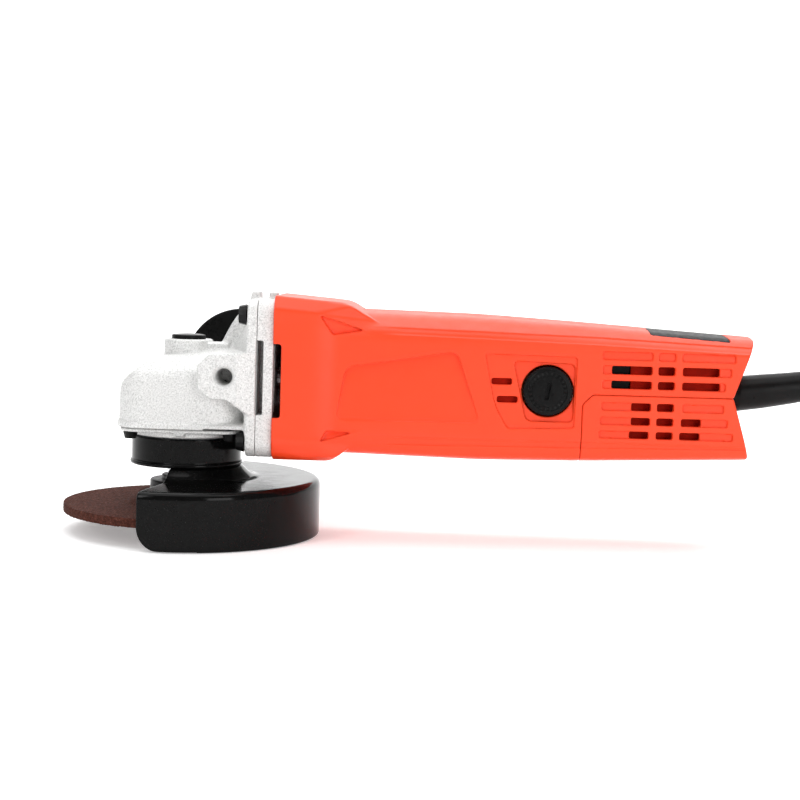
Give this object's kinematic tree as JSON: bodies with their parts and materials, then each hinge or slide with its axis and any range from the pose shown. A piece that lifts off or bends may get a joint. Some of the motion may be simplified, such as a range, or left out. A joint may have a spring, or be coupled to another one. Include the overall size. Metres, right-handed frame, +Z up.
{
  "type": "angle grinder",
  "caption": "Mains angle grinder with depressed-centre disc, swivelling guard, spindle lock, slide switch, side handle and coiled lead.",
  "frame": {"origin": "centre of the output spindle's end face", "axes": "+Z up along the spindle into the gear head, +X to the rear of the tool along the motor, +Y to the side that carries the side handle"},
  "size_m": [0.4544, 0.2062, 0.1],
  "materials": {
    "cast_aluminium": "rough die-cast skin, fine grain",
    "red_plastic": "moulded glass-filled nylon, satin with fine grain",
    "black_plastic": "moulded, semi-gloss",
    "black_paint": "gloss black powder coat on pressed steel",
    "black_rubber": "matt, flexible",
    "bright_steel": "turned and plated",
    "black_steel": "black oxide steel",
    "silicon_steel": "stacked laminations",
    "copper": "enamelled copper",
    "brass": "drawn brass",
    "carbon": "pressed carbon",
    "abrasive_resin": "brown fused grain in resin, with woven mesh",
    "white_plastic": "natural nylon",
    "dark_label": "printed foil, plain bars only"
  },
  "bodies": {
    "housing": {"gear_housing": "cast_aluminium", "gear_housing_cover": "cast_aluminium", "bearing_box": "cast_aluminium", "flange_screw_1": "black_steel", "flange_screw_2": "black_steel", "flange_screw_3": "black_steel", "flange_screw_4": "black_steel", "bearing_box_screw_1": "black_steel", "bearing_box_screw_2": "black_steel", "bearing_box_screw_3": "black_steel", "bearing_box_screw_4": "black_steel", "rear_cover_screw_1": "black_steel", "rear_cover_screw_2": "black_steel", "spindle_bearing": "bright_steel", "lock_spring": "bright_steel", "front_bearing": "bright_steel", "rear_bearing": "bright_steel", "handle_stud": "bright_steel", "dust_ring": "black_rubber", "rear_bearing_sleeve": "black_rubber", "cord_guard": "black_rubber", "power_cord": "black_rubber", "cord_coil": "black_rubber", "mains_plug": "black_rubber", "upper_spindle_bush": "brass", "brush_holder_left": "brass", "brush_holder_right": "brass", "brush_cap_left": "black_plastic", "brush_cap_right": "black_plastic", "power_switch": "black_plastic", "handle_grip": "black_plastic", "motor_housing": "red_plastic", "rear_cover": "red_plastic", "fan_baffle": "white_plastic", "capacitor": "white_plastic", "cord_clamp": "white_plastic", "stator_core": "silicon_steel", "field_coil_left": "copper", "field_coil_right": "copper", "carbon_brush_left": "carbon", "carbon_brush_right": "carbon", "rating_label": "dark_label"},
    "spindle": {"spindle": "bright_steel", "bevel_gear": "black_steel", "inner_flange": "bright_steel", "grinding_disc": "abrasive_resin", "lock_nut": "bright_steel"},
    "armature": {"armature_shaft": "bright_steel", "pinion": "black_steel", "fan": "black_plastic", "armature_core": "silicon_steel", "armature_winding_front": "copper", "armature_winding_rear": "copper", "commutator": "copper"},
    "lock_button": {"lock_button": "black_plastic"},
    "switch": {"switch_knob": "black_plastic"},
    "guard": {"wheel_guard": "black_paint", "guard_collar": "black_paint", "guard_clamp_screw": "bright_steel", "guard_clamp_nut": "bright_steel"}
  },
  "joints": [
    {"name": "spindle_spin", "type": "hinge", "parent": "housing", "child": "spindle", "pos_m": [0, 0, 0], "axis": [0, 0, 1], "continuous": true},
    {"name": "armature_spin", "type": "hinge", "parent": "housing", "child": "armature", "pos_m": [0, 0, 0.0586], "axis": [1, 0, 0], "continuous": true},
    {"name": "lock_button_press", "type": "slide", "parent": "housing", "child": "lock_button", "axis": [0, 0, -1], "range_m": [0, 0.0033], "stiffness_N_per_m": 600, "springref_m": -0.004, "deforming": ["lock_spring"]},
    {"name": "switch_slide", "type": "slide", "parent": "housing", "child": "switch", "axis": [-1, 0, 0], "range_m": [0, 0.0065]},
    {"name": "guard_swivel", "type": "hinge", "parent": "housing", "child": "guard", "pos_m": [0, 0, 0], "axis": [0, 0, 1], "range_deg": [-60, 60]}
  ],
  "couplings": [
    {"joint": "armature_spin", "follows": "spindle_spin", "ratio": 3.3636}
  ]
}
